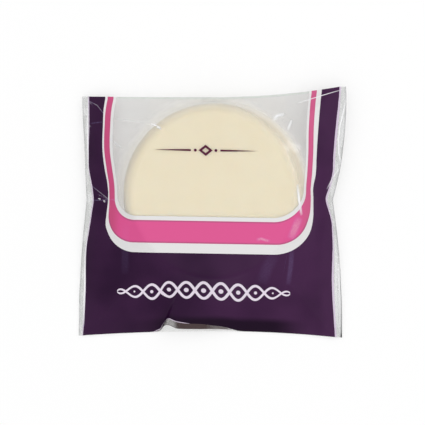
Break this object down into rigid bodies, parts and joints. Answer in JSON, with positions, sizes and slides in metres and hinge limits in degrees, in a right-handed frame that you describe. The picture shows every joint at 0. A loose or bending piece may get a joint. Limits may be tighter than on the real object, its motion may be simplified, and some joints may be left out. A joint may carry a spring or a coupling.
{
  "type": "makeup sponge",
  "caption": "Round foam makeup sponge in a clear film pouch with a printed front; the disc slides out through the open mouth.",
  "frame": {"origin": "on the table under the middle of the foam disc, in the back film's lower face", "axes": "+Z out of the printed front, +Y towards the folded end, -Y out of the mouth"},
  "size_m": [0.1108, 0.1039, 0.0152],
  "materials": {
    "foam": "matte",
    "printed_film": "gloss",
    "clear_film": "gloss"
  },
  "bodies": {
    "pouch": {"front_panel": "printed_film", "back_panel": "clear_film", "top_fold": "clear_film", "left_side_weld": "clear_film", "right_side_weld": "clear_film"},
    "disc": {"sponge": "foam"}
  },
  "joints": [
    {"name": "sponge_slide", "type": "slide", "parent": "pouch", "child": "disc", "axis": [0, -1, 0], "range_m": [0, 0.115], "deforming": ["front_panel"]}
  ]
}
